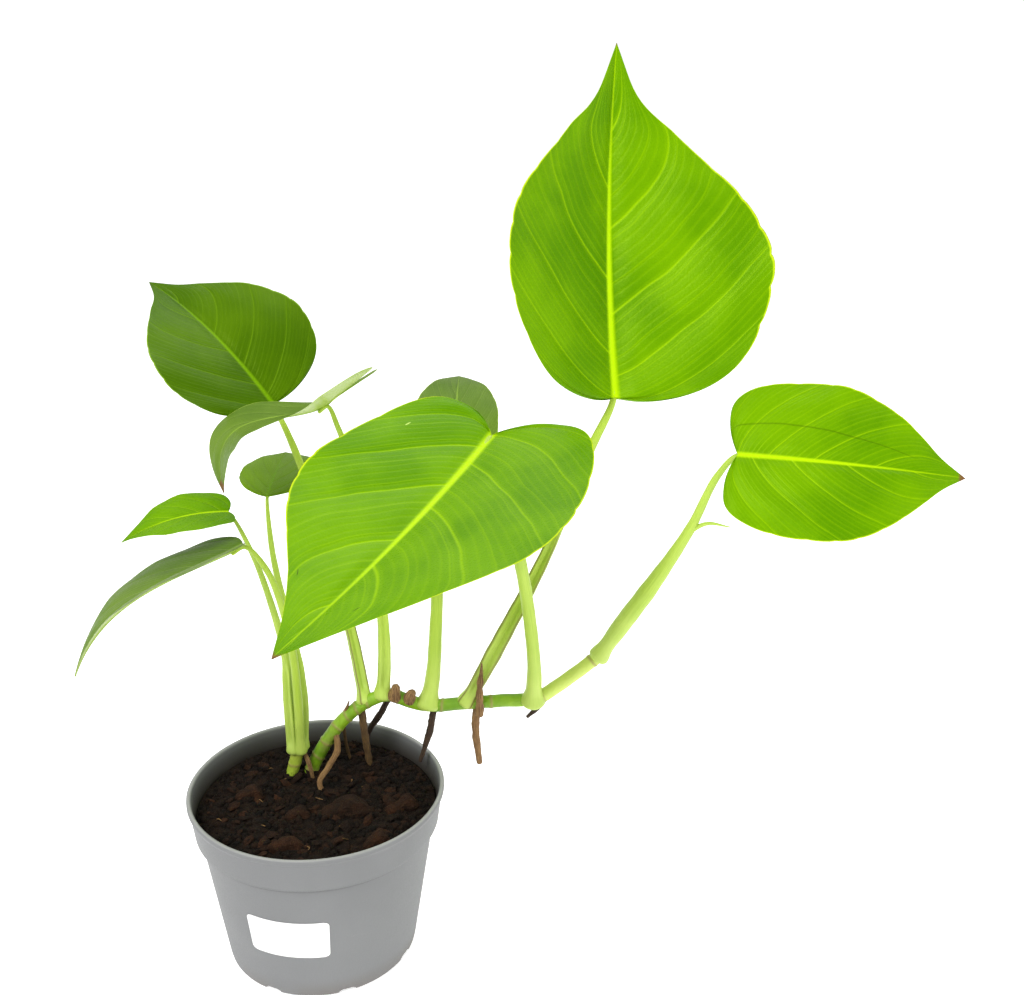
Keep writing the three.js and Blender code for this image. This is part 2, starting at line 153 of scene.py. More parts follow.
def smoothRoute(points, count):
    # centripetal Catmull-Rom curve through the points, resampled at equal lengths
    p = np.asarray(points, float)
    p = np.vstack([2 * p[0] - p[1], p, 2 * p[-1] - p[-2]])
    out = []
    for k in range(len(p) - 3):
        a, b, c, d = p[k : k + 4]
        t = np.cumsum([0, *[np.linalg.norm(q - r) ** 0.5 for q, r in ((b, a), (c, b), (d, c))]])
        s = np.linspace(t[1], t[2], 24, endpoint=k == len(p) - 4)[:, None]
        mix = lambda u, v, x, y: ((y - s) * u + (s - x) * v) / (y - x)
        ab, bc, cd = mix(a, b, t[0], t[1]), mix(b, c, t[1], t[2]), mix(c, d, t[2], t[3])
        out.append(mix(mix(ab, bc, t[0], t[2]), mix(bc, cd, t[1], t[3]), t[1], t[2]))
    line = np.vstack(out)
    reach = np.r_[0, np.cumsum(np.linalg.norm(np.diff(line, axis=0), axis=1))]
    at = np.linspace(0, reach[-1], count)
    return np.stack([np.interp(at, reach, line[:, k]) for k in range(3)], -1), reach[-1]


def nowhere(theta, v, length):
    # a mask that is 0 all over a tube
    return 0 * theta


def makeLimb(
    name, spec, material, slot, nodes=(), look=(0, -1, 0), sides=20, spacing=1.2, shape=nowhere, values=None
):
    # a tube: round sections along a smooth route, radius times (1 + shape), with domed ends.
    # look points to the side where theta is 0; v runs 0 to 1 along the tube.
    length = smoothRoute(spec["route"], 8)[1]
    rings = max(16, int(length / spacing))
    centre, length = smoothRoute(spec["route"], rings)
    ahead = unit(np.gradient(centre, axis=0))
    toLook = unit(look - ahead * (ahead @ np.asarray(look, float))[:, None])
    side = np.cross(ahead, toLook)
    v = np.linspace(0, 1, rings)
    radius = np.interp(v, np.linspace(0, 1, len(spec["radii"])), spec["radii"])
    angle = np.linspace(0, 2 * np.pi, sides, endpoint=False)
    dome, domeHeight = np.radians([0, 30, 60]), 0.6
    row = np.r_[[0] * 3, np.arange(rings), [rings - 1] * 3]
    squeeze = np.r_[np.sin(dome), np.ones(rings), np.sin(dome)[::-1]]
    push = np.r_[-np.cos(dome), np.zeros(rings), np.cos(dome)[::-1]] * radius[row] * domeHeight
    theta, along = np.meshgrid(angle, v[row])
    r = (radius[row] * squeeze)[:, None] * (1 + shape(theta, along, length))
    points = centre[row][:, None] + (ahead[row] * push[:, None])[:, None]
    points = points + toLook[row][:, None] * (r * np.cos(theta))[..., None]
    points = points + side[row][:, None] * (r * np.sin(theta))[..., None]
    uv = np.stack([along * length / 10, theta / (2 * np.pi)], -1)
    masks = {"along": along, **{key: mask(theta, along, length) for key, mask in (values or {}).items()}}
    return makePiece(name, points, gridQuads(len(row), sides), material, slot, nodes, uv, masks)


def newMaterial(name, **sockets):
    # a material whose uniform values are set on the shader's own sockets
    material = bpy.data.materials.new(name)
    material.use_nodes = True
    shader = material.node_tree.nodes["Principled BSDF"]
    for key, value in sockets.items():
        shader.inputs[key.replace("_", " ")].default_value = value
    return material, material.node_tree, shader


def put(tree, kind, inputs=(), **settings):
    # adds a node, sets its options, and fills its sockets in order with links or values
    node = tree.nodes.new(kind)
    for key, value in settings.items():
        setattr(node, key, value)
    pairs = inputs.items() if isinstance(inputs, dict) else enumerate(inputs)
    for key, value in pairs:
        if isinstance(value, bpy.types.NodeSocket):
            tree.links.new(value, node.inputs[key])
        else:
            node.inputs[key].default_value = value
    return node


def calc(tree, operation, *inputs):
    return put(tree, "ShaderNodeMath", inputs, operation=operation).outputs[0]


def times(tree, first, second):
    # the product, as a mask's strength
    return calc(tree, "MULTIPLY", first, second)


def ramp(tree, value, low, high, start=0.0, end=1.0):
    # smooth step of a value from start to end
    inputs = {"Value": value, "From Min": low, "From Max": high, "To Min": start, "To Max": end}
    return put(tree, "ShaderNodeMapRange", inputs, interpolation_type="SMOOTHSTEP").outputs["Result"]


def blend(tree, factor, first, second):
    # the first colour where the factor is 0 and the second where it is 1
    return put(tree, "ShaderNodeMix", {0: factor, 6: first, 7: second}, data_type="RGBA").outputs[2]


def attribute(tree, name):
    return put(tree, "ShaderNodeAttribute", attribute_name=name).outputs["Fac"]


def objectPlace(tree):
    return put(tree, "ShaderNodeTexCoord").outputs["Object"]


def ownMap(tree):
    return put(tree, "ShaderNodeUVMap", uv_map="UVMap").outputs[0]


def stretched(tree, place, scale):
    # the same places with each direction scaled
    return put(tree, "ShaderNodeMapping", {"Vector": place, "Scale": scale}).outputs[0]


def speckle(tree, place, scale, detail=4.0, roughness=0.6):
    inputs = {"Vector": place, "Scale": scale, "Detail": detail, "Roughness": roughness}
    return put(tree, "ShaderNodeTexNoise", inputs).outputs["Fac"]


def newGroup(name, inputs, outputs):
    # a shared effect: float inputs with their usual values, and float outputs
    group = bpy.data.node_groups.new(name, "ShaderNodeTree")
    for key, value in inputs.items():
        socket = group.interface.new_socket(key, in_out="INPUT", socket_type="NodeSocketFloat")
        socket.default_value = value
    for key in outputs:
        group.interface.new_socket(key, in_out="OUTPUT", socket_type="NodeSocketFloat")
    return group, group.nodes.new("NodeGroupInput").outputs, group.nodes.new("NodeGroupOutput").inputs


def useGroup(tree, group, **values):
    # places a shared effect with its own values, and gives its outputs
    node = tree.nodes.new("ShaderNodeGroup")
    node.node_tree = group
    for key, value in values.items():
        node.inputs[key].default_value = value
    return node.outputs


# count is the main side veins of each half; sweep is how far they run forward on their way to the margin,
# in blade lengths; stagger is how far each half's veins are out of step, in vein spacings
veinBuild = {"count": 6, "sweep": 0.19, "stagger": 0.22, "bend": 0.03}
# from finest to boldest: times is the count for each main vein, and strength is how far it colours
veinLayers = {
    "minor": {"times": 7.0, "width": 0.25, "fade": 0.2, "strength": 0.12},
    "second": {"times": 2.0, "width": 0.04, "fade": 0.3, "strength": 0.3},
    "main": {"times": 1.0, "width": 0.035, "fade": 0.5, "strength": 0.75},
}


def buildVeins():
    # side veins: thin lines at equal steps of UV x minus sweep times t, bent a little by noise, and
    # fading from midrib to margin
    group, given, out = newGroup("leafVeins", {"count": 9.0, "width": 0.1, "fade": 0.6}, ["mask"])
    uv = put(group, "ShaderNodeSeparateXYZ", [ownMap(group)])
    t = calc(group, "ABSOLUTE", uv.outputs[1])
    offset = times(group, calc(group, "SIGN", uv.outputs[1]), veinBuild["stagger"])
    cloud = speckle(group, objectPlace(group), 30.0, 1.0)
    bend = calc(group, "MULTIPLY_ADD", cloud, veinBuild["bend"], -veinBuild["bend"] / 2)
    onward = calc(group, "SUBTRACT", uv.outputs[0], calc(group, "MULTIPLY_ADD", t, veinBuild["sweep"], bend))
    step = calc(group, "MULTIPLY_ADD", onward, given["count"], offset)
    off = calc(group, "ABSOLUTE", calc(group, "SUBTRACT", calc(group, "FRACT", step), 0.5))
    strength = calc(group, "SUBTRACT", 1.0, times(group, t, given["fade"]))
    group.links.new(times(group, ramp(group, off, given["width"], 0.0), strength), out["mask"])
    return group


def buildMottle():
    # soft blotches and fine grain, both 0 to 1
    group, given, out = newGroup("mottle", {"blotch": 20.0, "grain": 400.0}, ["patches", "fine"])
    place = objectPlace(group)
    for scale, key in (("blotch", "patches"), ("grain", "fine")):
        inputs = {"Vector": place, "Scale": given[scale], "Detail": 5.0}
        cloud = put(group, "ShaderNodeTexNoise", inputs).outputs["Fac"]
        group.links.new(ramp(group, cloud, 0.3, 0.7), out[key])
    return group


veins = buildVeins()
mottle = buildMottle()


def finishBump(tree, shader, height, strength, distance):
    # fine relief from a height, distance in metres
    bump = put(tree, "ShaderNodeBump", {"Height": height, "Strength": strength, "Distance": distance})
    tree.links.new(bump.outputs[0], shader.inputs["Normal"])


leafLooks = {
    "bright": {
        "body": colour(106, 156, 0), "deep": colour(82, 134, 0), "vein": colour(150, 194, 4),
        "rib": colour(178, 218, 8), "edge": colour(200, 224, 30), "under": colour(146, 176, 66),
        "rough": 0.3, "slot": "leaf_bright",
    },
    "dark": {
        "body": colour(74, 110, 1), "deep": colour(60, 96, 1), "vein": colour(96, 134, 8),
        "rib": colour(106, 150, 6), "edge": colour(140, 176, 50), "under": colour(136, 164, 80),
        "rough": 0.34, "slot": "leaf_dark",
    },
    "dull": {
        "body": colour(104, 132, 46), "deep": colour(84, 114, 34), "vein": colour(128, 154, 70),
        "rib": colour(140, 172, 62), "edge": colour(176, 202, 84), "under": colour(172, 194, 96),
        "rough": 0.4, "slot": "leaf_dull",
    },
}
# the dark look with a yellower blade
leafLooks["olive"] = {**leafLooks["dark"], "body": colour(114, 150, 18), "deep": colour(102, 138, 14)}
# Places, length, arch, hook and puff are in mm, fold and twist are in degrees, and halfWidth, lobe, tip and
# wave are shares of the length. dry is where along the UV map the brown tip starts.
leafShapes = {
    "upper": {
        "base": [137, 45, 262.5], "end": [136, 98, 416.5], "facing": [0.32, -0.86, 0.4], "length": 163,
        "halfWidth": [0.402, 0.453], "lobe": 0.06, "skew": 1.04, "tip": 0.31, "fold": 25, "curl": -0.05,
        "arch": -17, "wave": 0.006, "look": "bright", "puff": 1.3, "drawn": 0.3, "notch": 0.014,
        "dry": 0.994,
    },
    "front": {
        "base": [81.5, 5, 255], "end": [9, -120, 211.5], "facing": [-0.26, -0.64, 0.73], "length": 151,
        "halfWidth": [0.465, 0.335], "lobe": 0.134, "skew": 1.17, "tip": 0.32, "fold": 12.7,
        "curl": -0.11, "arch": -8.5, "wave": 0.004, "look": "bright", "puff": 1.1, "dry": 0.99,
        "specks": [
            {"at": (0.88, 0.82), "reach": 0.008, "tone": colour(30, 34, 10)},
            {"at": (0.9, -0.45), "reach": 0.007, "tone": colour(36, 44, 10)},
            {"at": (0.4, 0.7), "reach": 0.008, "tone": colour(200, 226, 120)},
        ],
    },
    "right": {
        "base": [191, 22, 243], "end": [288, 7, 238], "facing": [-0.14, -0.79, 0.6], "length": 98,
        "halfWidth": [0.381, 0.379], "lobe": 0.117, "skew": 0.936, "tip": 0.208, "fold": 5,
        "curl": 0.075, "arch": 5, "wave": 0.008, "look": "bright", "puff": 0.8, "drawn": 0.1,
        # a painted shade line along a crease across the blade
        "dry": 0.982, "creaseShade": {"across": -0.42, "start": 0.2, "end": 0.92},
    },
    "rear_left": {
        "base": [-23.5, 60, 253.5], "end": [-88.5, 97.5, 304.5], "facing": [0.245, -0.55, 0.8],
        "length": 90.5, "halfWidth": [0.456, 0.478], "lobe": 0.01, "skew": 0.952, "tip": 0.286,
        "fold": 15.7, "curl": 0.083, "arch": 14.8, "wave": 0.006, "look": "dark", "puff": 0.7,
        "drawn": 0.2, "dry": 0.999,
    },
    "edge_on": {
        "base": [6.5, 31, 261.5], "end": [-39, 19, 223], "facing": [-0.62, 0.16, 0.75], "length": 78,
        "halfWidth": [0.3, 0.22], "lobe": 0.55, "sinus": 0.8, "skew": 0.95, "tip": 0.12, "fold": 10,
        "curl": 0.02, "arch": 5, "hook": 34, "twist": 44, "wave": 0.006, "look": "dull", "puff": 0.35,
        "dry": 0.97,
    },
    "shaded_rear": {
        "base": [61.5, 60, 222], "end": [62, 122, 253.5], "facing": [0.05, -0.5, 0.86], "length": 69,
        "halfWidth": [0.3, 0.31], "lobe": 0.1, "skew": 0.85, "tip": 0.1, "fold": 6, "curl": 0.08,
        "arch": 20, "wave": 0.006, "look": "dull", "puff": 0.5, "dry": 0.999,
    },
    "small_rear": {
        "base": [-27, 52, 210], "end": [-26.5, 100, 217.5], "facing": [0, -0.35, 0.9], "length": 50,
        "halfWidth": [0.34, 0.48], "lobe": -0.03, "skew": 0.9, "tip": 0.14, "fold": 10, "curl": 0.08,
        "arch": 3, "wave": 0.006, "look": "olive", "puff": 0.25, "dry": 0.999,
    },
    "small_left": {
        "base": [-38, 20, 213.5], "end": [-82.5, 5, 204], "facing": [0.02, -0.3, 0.95], "length": 49.5,
        "halfWidth": [0.28, 0.3], "lobe": 0.1, "skew": 0.95, "tip": 0.25, "fold": 12, "curl": 0.08,
        "arch": 9, "wave": 0.006, "look": "bright", "puff": 0.25, "dry": 0.999,
    },
    "low_left": {
        "base": [-28.5, 5, 203.5], "end": [-94, -35, 158.5], "facing": [-0.11, 0.16, 0.91],
        "length": 104, "halfWidth": [0.23, 0.28], "lobe": 0.02, "skew": 0.95, "tip": 0.25, "fold": 15,
        "curl": 0.1, "arch": 9, "hook": 14.5, "twist": -4, "wave": 0.003, "look": "dull", "puff": 0.35,
        "dry": 0.999,
    },
}
bladeBuild = {"rows": 110, "columns": 34, "thickness": 0.45, "ribAbove": 0.35, "ribBelow": 1.5}


def leafPoint(leaf, s, t, side, lift):
    # s runs round the margin from sinus to tip and t from midrib to margin. The flat outline is a cosine
    # reach with a drawn-out tip and two lobes; it is laid along a cubic midrib, folded, curled and rippled.
    size = leaf["length"]
    half = np.where(side < 0, *leaf["halfWidth"]) * size
    reach = size * (1 - leaf["tip"]) * (1 - np.cos(np.pi * s)) / 2 + leaf["tip"] * size * s**10
    lobe = leaf["lobe"] * size * np.sin(np.pi * np.minimum(2 * s, 1)).clip(0) ** leaf.get("sinus", 1.2)
    marginX = reach - lobe
    marginY = half * np.sin(np.pi * s ** leaf["skew"]).clip(0) ** 0.9
    # the margin has a small notch where each vein meets it, and the tip is drawn in
    step = (s - veinBuild["sweep"]) * veinBuild["count"] * 2 + side * veinBuild["stagger"]
    notch = 1 - abs(np.cos(np.pi * step))
    notch = leaf.get("notch", 0.01) * notch**2 * smooth(0.25, 0.4, s)
    marginY = marginY * (1 - notch) * (1 - leaf.get("drawn", 0) * smooth(0.88, 0.96, s))
    foot = size * np.clip((s - 0.28) / 0.72, 0, 1) ** 1.45
    kneeX = (foot + marginX) / 2 - 0.07 * size * np.sin(np.pi * s)
    x = (1 - t) ** 2 * foot + 2 * t * (1 - t) * kneeX + t * t * marginX
    y = t * marginY
    start, finish = np.array(leaf["base"], float), np.array(leaf["end"], float)
    chord = finish - start
    up = unit(leaf["facing"] - chord * (np.dot(leaf["facing"], chord) / np.dot(chord, chord)))
    rise = start + chord / 3 + up * leaf["arch"] * 2 / 3
    fall = start + chord * 2 / 3 + up * (leaf["arch"] * 2 / 3 + leaf.get("hook", 0))
    u = np.maximum(x / size, 0)[..., None]
    w = 1 - u
    spine = w**3 * start + 3 * w * w * u * rise + 3 * w * u * u * fall + u**3 * finish
    # the lobes behind the base carry straight on from the midrib's start
    spine = spine + 3 * np.minimum(x / size, 0)[..., None] * (rise - start)
    ahead = unit(w * w * (rise - start) + 2 * w * u * (fall - rise) + u * u * (finish - fall))
    across = unit(np.cross(ahead, up))
    normal = np.cross(across, ahead)
    turn = np.radians(leaf.get("twist", 0)) * u
    across, normal = (
        across * np.cos(turn) + normal * np.sin(turn),
        normal * np.cos(turn) - across * np.sin(turn),
    )
    fold = np.radians(leaf["fold"])
    phase = 8 * np.pi * s + np.where(side > 0, 1.3, 0)
    ripple = leaf["wave"] * size * t**3 * np.sin(phase) * np.sin(np.pi * s)
    height = y * np.sin(fold) - leaf["curl"] * y * y / half + ripple
    flat = spine + across * (side * y * np.cos(fold))[..., None] + normal * height[..., None]
    return flat + normal * lift(x / size, y)[..., None], x / size, y


dryTip = colour(120, 84, 50)
# painted shade of a crease: the line's width, softness, strength and darker green
creaseShadeLine = {"width": 0.016, "soft": 0.005, "strength": 0.45, "tone": colour(58, 92, 0)}


def leafMaterial(name, leaf):
    # blotched green with three ranks of side veins, a midrib that narrows to the tip, a pale underside
    # and margin, and a dry brown tip
    tones = leafLooks[leaf["look"]]
    material, tree, shader = newMaterial(name, Specular_IOR_Level=0.2, Specular_Tint=(0.7, 1.0, 0.1, 1.0))
    spots = useGroup(tree, mottle, blotch=28.0, grain=900.0)
    place = ownMap(tree)
    uv = put(tree, "ShaderNodeSeparateXYZ", [place])
    t = calc(tree, "ABSOLUTE", uv.outputs[1])
    u, y, under = (attribute(tree, key) for key in ("ribU", "ribY", "under"))
    cover = blend(tree, spots["patches"], tones["deep"], tones["body"])
    lines = {}
    for key, layer in veinLayers.items():
        count = veinBuild["count"] * layer["times"]
        lines[key] = useGroup(tree, veins, count=count, width=layer["width"], fade=layer["fade"])["mask"]
        cover = blend(tree, times(tree, lines[key], layer["strength"]), cover, tones["vein"])
    cover = blend(tree, times(tree, under, 0.75), cover, tones["under"])
    ribWidth = calc(tree, "MULTIPLY_ADD", u, -0.019 * leaf["length"], 0.021 * leaf["length"])
    rib = ramp(tree, calc(tree, "DIVIDE", y, ribWidth), 1.0, 0.1)
    rib = times(tree, rib, ramp(tree, u, 1.1, 0.3, 0.35, 1.0))
    cover = blend(tree, rib, cover, tones["rib"])
    for speck in leaf.get("specks", []):
        away = put(tree, "ShaderNodeVectorMath", [place, (*speck["at"], 0)], operation="DISTANCE")
        spot = ramp(tree, away.outputs["Value"], speck["reach"], speck["reach"] * 0.6)
        cover = blend(tree, spot, cover, speck["tone"])
    if "creaseShade" in leaf:
        # painted shade: a darker green line along one side of the blade, where a crease would shade it
        creaseShade = leaf["creaseShade"]
        away = calc(tree, "ABSOLUTE", calc(tree, "SUBTRACT", uv.outputs[1], creaseShade["across"]))
        line = ramp(tree, away, creaseShadeLine["width"], creaseShadeLine["soft"])
        rise = ramp(tree, uv.outputs[0], creaseShade["start"], creaseShade["start"] + 0.08)
        fall = ramp(tree, uv.outputs[0], creaseShade["end"], creaseShade["end"] - 0.08)
        foldShade = times(tree, line, times(tree, times(tree, rise, fall), creaseShadeLine["strength"]))
        cover = blend(tree, foldShade, cover, creaseShadeLine["tone"])
    cover = blend(tree, ramp(tree, t, 0.982, 0.997), cover, tones["edge"])
    cover = blend(tree, ramp(tree, uv.outputs[0], leaf["dry"], leaf["dry"] + 0.008), cover, dryTip)
    tree.links.new(cover, shader.inputs["Base Color"])
    rough = calc(tree, "MULTIPLY_ADD", spots["fine"], 0.12, tones["rough"] - 0.06)
    tree.links.new(rough, shader.inputs["Roughness"])
    height = calc(tree, "MULTIPLY_ADD", lines["minor"], -0.4, times(tree, spots["fine"], 0.25))
    height = calc(tree, "MULTIPLY_ADD", lines["main"], -1.0, height)
    finishBump(tree, shader, height, 0.5, 0.0003)
    return material


def makeLeaf(name, leaf):
    # both faces of a blade as one closed grid: rows from sinus to tip, and columns from the left margin
    # over the top to the right margin and back below
    rows, columns = bladeBuild["rows"], bladeBuild["columns"]
    size = leaf["length"]
    down = 1 - (1 - np.linspace(0, 1, columns + 1)) ** 1.35
    top = np.r_[-down[::-1], down[1:]]
    column = np.r_[top, top[-2:0:-1]]
    under = np.r_[np.zeros(len(top)), np.ones(len(top) - 2)]
    s, signed = np.meshgrid(np.linspace(0, 1, rows + 1), column, indexing="ij")
    side, t = np.where(signed < 0, -1, 1), abs(signed)
    below = np.broadcast_to(under, s.shape)
    # the blade swells between its side veins, on both faces alike, and lies flat at its margin and ends
    step = (s - veinBuild["sweep"] * t) * veinBuild["count"] + side * veinBuild["stagger"]
    calm = smooth(0, 0.15, t) * smooth(1, 0.6, t) * smooth(0, 0.1, s) * smooth(1, 0.85, s)
    swell = abs(np.sin(np.pi * step + np.pi / 2)) ** 0.7 * calm * leaf["puff"]

    def lift(u, y):
        # half the thickness, thinned to the margin, plus a low rib that is higher below than above
        ribWidth = (1.9 - 1.5 * u.clip(0, 1)) * size / 160
        ridge = bell(y, ribWidth) * (1 - 0.85 * u.clip(0, 1)) * size / 160
        skin = bladeBuild["thickness"] / 2 * (1 - t**8)
        above, beneath = skin + bladeBuild["ribAbove"] * ridge, -skin - bladeBuild["ribBelow"] * ridge
        return swell + np.where(below > 0, beneath, above)

    points, u, y = leafPoint(leaf, s, t, side, lift)
    uv = np.stack([s, signed], -1)
    masks = {"ribU": u, "ribY": y, "under": below}
    material, slot = leafMaterial("leafCover_" + name, leaf), leafLooks[leaf["look"]]["slot"]
    quads = gridQuads(rows + 1, len(column))
    return makePiece("blade_" + name, points, quads, material, slot, ["leaf_" + name], uv, masks)


for leafName, leafSpec in leafShapes.items():
    makeLeaf(leafName, leafSpec)
print("leaves done")


# radii are at equal steps along the route, and lean points to the stalk's inner face
stalks = {
    "upper": {
        "radii": [3.2, 4.1, 3.6, 2.9, 2.3, 2.1], "sheath": 0.62, "brown": 0.9, "lean": (-0.2, -1, 0.1),
        "route": [
            [69, 30, 112], [75, 31, 123], [88, 33, 149], [106.5, 36, 187.5], [126.5, 42, 238.5],
            [137, 45, 262.5],
        ],
    },
    "front": {
        "radii": [4.2, 3.2, 3.0, 2.9, 2.7, 2.4], "sheath": 0, "lean": (0, -1, 0),
        "route": [
            [102, 28.5, 114.5], [102, 23, 136.5], [98, 18, 173], [93, 13, 202], [87.5, 8, 234.5],
            [81.5, 5, 255],
        ],
    },
    "right": {
        "radii": [3.4, 4.3, 4.1, 3.0, 2.2, 1.7], "sheath": 0, "lean": (-0.6, -0.8, 0.3),
        "route": [
            [133, 30, 138], [143.5, 29, 155.5], [158, 27, 179.5], [172.5, 25, 206.5], [183, 25, 231.5],
            [191, 22, 243],
        ],
    },
    "rear_left": {
        "radii": [3.0, 2.8, 2.4, 2.0, 1.9, 1.7], "sheath": 0.4, "brown": 0.9, "lean": (0.5, -1, 0),
        "route": [
            [20, 29, 112], [17.5, 35, 121], [13, 40, 143], [5, 46, 172], [-8, 53, 218.5],
            [-19, 58, 245.5], [-24, 60, 253.5],
        ],
    },
    "edge_on": {
        "radii": [3.2, 3.0, 2.4, 2.0, 1.7, 1.5], "sheath": 0.35, "lean": (0.3, -1, 0),
        "route": [
            [28.5, 29.5, 115.5], [29.5, 31, 131.5], [29.5, 32, 151.5], [26.5, 32, 188.5], [17, 32, 233],
            [11.5, 31, 251], [6.5, 31, 261.5],
        ],
    },
    "shaded_rear": {
        "radii": [4.2, 3.4, 3.1, 2.8, 2.3, 1.8], "sheath": 0, "lean": (0, -1, 0),
        "route": [
            [50.5, 30, 110.5], [53, 33, 125.5], [54.5, 38, 152.5], [56, 47, 190.5], [59.5, 57, 216],
            [61.5, 60, 222],
        ],
    },
    "small_rear": {
        "radii": [2.6, 2.9, 2.6, 2.0, 1.6, 1.3], "sheath": 0.45, "lean": (0.6, -1, 0),
        "route": [
            [-11, 24, 90], [-10.5, 26, 116], [-14, 30, 146], [-20, 37, 168], [-24.5, 44, 188],
            [-27, 52, 210],
        ],
    },
    "small_left": {
        "radii": [2.4, 2.5, 2.2, 1.8, 1.5, 1.2], "sheath": 0.4, "lean": (-0.4, -1, 0),
        "route": [
            [-14.5, 20.5, 90], [-15, 20, 118], [-15.5, 20, 139.5], [-20, 20, 164], [-28.5, 20, 194],
            [-38, 20, 213.5],
        ],
    },
    "low_left": {
        "radii": [2.3, 2.2, 2.0, 1.8, 1.6, 1.4], "sheath": 0, "lean": (0, -1, 0),
        "route": [
            [-11, 20, 90], [-10.5, 17.5, 118.5], [-11, 14.5, 144], [-14, 12, 168.5], [-19.5, 8.5, 190],
            [-28.5, 5, 203.5],
        ],
    },
}


def stalkMaterial(name, light, deep):
    # streaked green, paler towards the foot, with brown wing edges where the wing mask is
    material, tree, shader = newMaterial(name, Roughness=0.42, Specular_IOR_Level=0.35)
    spots = useGroup(tree, mottle, blotch=55.0, grain=900.0)
    streak = ramp(tree, speckle(tree, stretched(tree, ownMap(tree), (0.12, 16, 1)), 4.0), 0.35, 0.65)
    cover = blend(tree, calc(tree, "MULTIPLY_ADD", streak, 0.5, 0.5), deep, light)
    cover = blend(tree, ramp(tree, attribute(tree, "along"), 0.0, 0.35, 0.45, 0.0), cover, paleFoot)
    cover = blend(tree, times(tree, spots["patches"], 0.25), cover, deep)
    cover = blend(tree, attribute(tree, "wing"), cover, brownWing)
    tree.links.new(cover, shader.inputs["Base Color"])
    finishBump(tree, shader, calc(tree, "ADD", streak, spots["fine"]), 0.25, 0.0003)
    return material


def fromInnerFace(theta):
    # the turn from the stalk's inner face, 0 to pi either way
    return abs((theta + np.pi) % (2 * np.pi) - np.pi)


def sheathShape(sheath):
    # a swollen foot and, over the sheathed share of the stalk, a channel on the inner face between two wings
    def shape(theta, v, length):
        turn = fromInnerFace(theta)
        opening = smooth(sheath, sheath * 0.75, v) * smooth(0.01, 0.06, v) if sheath else 0 * v
        wings = 0.34 * bell(turn - 0.75, 0.2) - 0.55 * bell(turn, 0.5)
        return opening * wings + 0.45 * bell(v * length, 4.5) + 0.015 * np.sin(v * length * 0.5)
    return shape


def wingEdge(sheath, brown):
    # a mask on the two edges of the sheath
    def mask(theta, v, length):
        return brown * smooth(sheath, sheath * 0.8, v) * bell(fromInnerFace(theta) - 0.8, 0.09)
    return mask if brown else nowhere


paleFoot, brownWing = colour(200, 216, 120), colour(104, 82, 44)
stalkCover = stalkMaterial("stalkCover", colour(176, 202, 66), colour(134, 168, 36))
stalkPale = stalkMaterial("stalkPale", colour(186, 210, 84), colour(142, 178, 48))
paleStalks = ("front", "small_rear", "small_left", "right")
for stalkName, spec in stalks.items():
    leaf = leafShapes[stalkName]
    base, end = np.array(leaf["base"], float), np.array(leaf["end"], float)
    chord = end - base
    up = unit(leaf["facing"] - chord * (np.dot(leaf["facing"], chord) / np.dot(chord, chord)))
    inward = unit(chord / 3 + up * leaf["arch"] * 2 / 3)
    tuck = leaf["length"] * 0.06
    # the stalk ends under the midrib, which takes over from it
    spec["route"][-1] = list(base - up * 1.1)
    spec["route"].append(list(base + inward * tuck - up * 1.4))
    spec["radii"] = [*spec["radii"], spec["radii"][-1] * 0.55]
    cover = stalkPale if stalkName in paleStalks else stalkCover
    shape, masks = sheathShape(spec["sheath"]), {"wing": wingEdge(spec["sheath"], spec.get("brown", 0))}
    makeLimb("stalk_" + stalkName, spec, cover, "petiole", ["petiole_" + stalkName], look=spec["lean"],
             sides=32, spacing=1.0, shape=shape, values=masks)
print("stalks done")

mainStem = {
    "radii": [3.6, 3.3, 3.2, 3.2, 3.1, 3.3, 3.2],
    "rings": [26, 34, 43, 52, 60, 66, 72, 88, 110, 134, 160, 190],
    "route": [
        [-13, 24.5, 52], [-8, 25, 73.5], [-1.5, 26, 88], [10.5, 28, 104.5], [23.5, 29, 114],
        [32, 30, 116], [42, 30, 112.5], [51.5, 30, 110.5], [70, 30, 112], [86, 30, 113.5],
        [104, 30, 115.5], [115, 30, 123], [134, 30, 139],
    ],
}
sideShoot = {
    "radii": [2.5, 2.6, 2.9, 3.1], "rings": [31],
    "route": [[-21, 22, 52], [-17, 22, 73.5], [-14, 22, 84], [-12.5, 22, 92]],
}


def stemMaterial(name, light, deep):
    # blotched green with a pale young end, corky brown patches and tan node rings
    material, tree, shader = newMaterial(name, Roughness=0.45, Specular_IOR_Level=0.35)
    spots = useGroup(tree, mottle, blotch=90.0, grain=700.0)
    ring, woody, pale = (attribute(tree, key) for key in ("ring", "woody", "pale"))
    cover = blend(tree, spots["patches"], deep, light)
    cover = blend(tree, pale, cover, colour(208, 224, 110))
    cork = blend(tree, spots["patches"], colour(96, 92, 52), colour(140, 134, 84))
    cover = blend(tree, times(tree, woody, ramp(tree, spots["fine"], 0.0, 0.6, 0.5, 1.0)), cover, cork)
    cover = blend(tree, times(tree, ring, 0.7), cover, colour(150, 128, 82))
    tree.links.new(cover, shader.inputs["Base Color"])
    finishBump(tree, shader, spots["fine"], 0.35, 0.0004)
    return material


def ringsOf(spec):
    # node rings: narrow slanting bands at the listed lengths from the start
    def mask(theta, v, length):
        return sum(bell(v * length - at - 0.6 * np.sin(theta + at), 0.7) for at in spec["rings"])
    return mask


def stemShape(spec):
    # raised rings, and a shallow three-sided wave that comes and goes along the stem
    def shape(theta, v, length):
        wave = np.sin(theta * 3 + v * 40) * np.sin(v * 60)
        return 0.09 * ringsOf(spec)(theta, v, length) + 0.03 * wave
    return shape


def woodyShare(theta, v, length):
    # cork in patches over the older part, gone by 75 mm
    place = np.stack([3 * np.cos(theta), 3 * np.sin(theta), v * length / 2], -1)
    return 0.75 * smooth(75, 30, v * length) * smooth(-0.6, 0.6, noise(place, 4, 2))


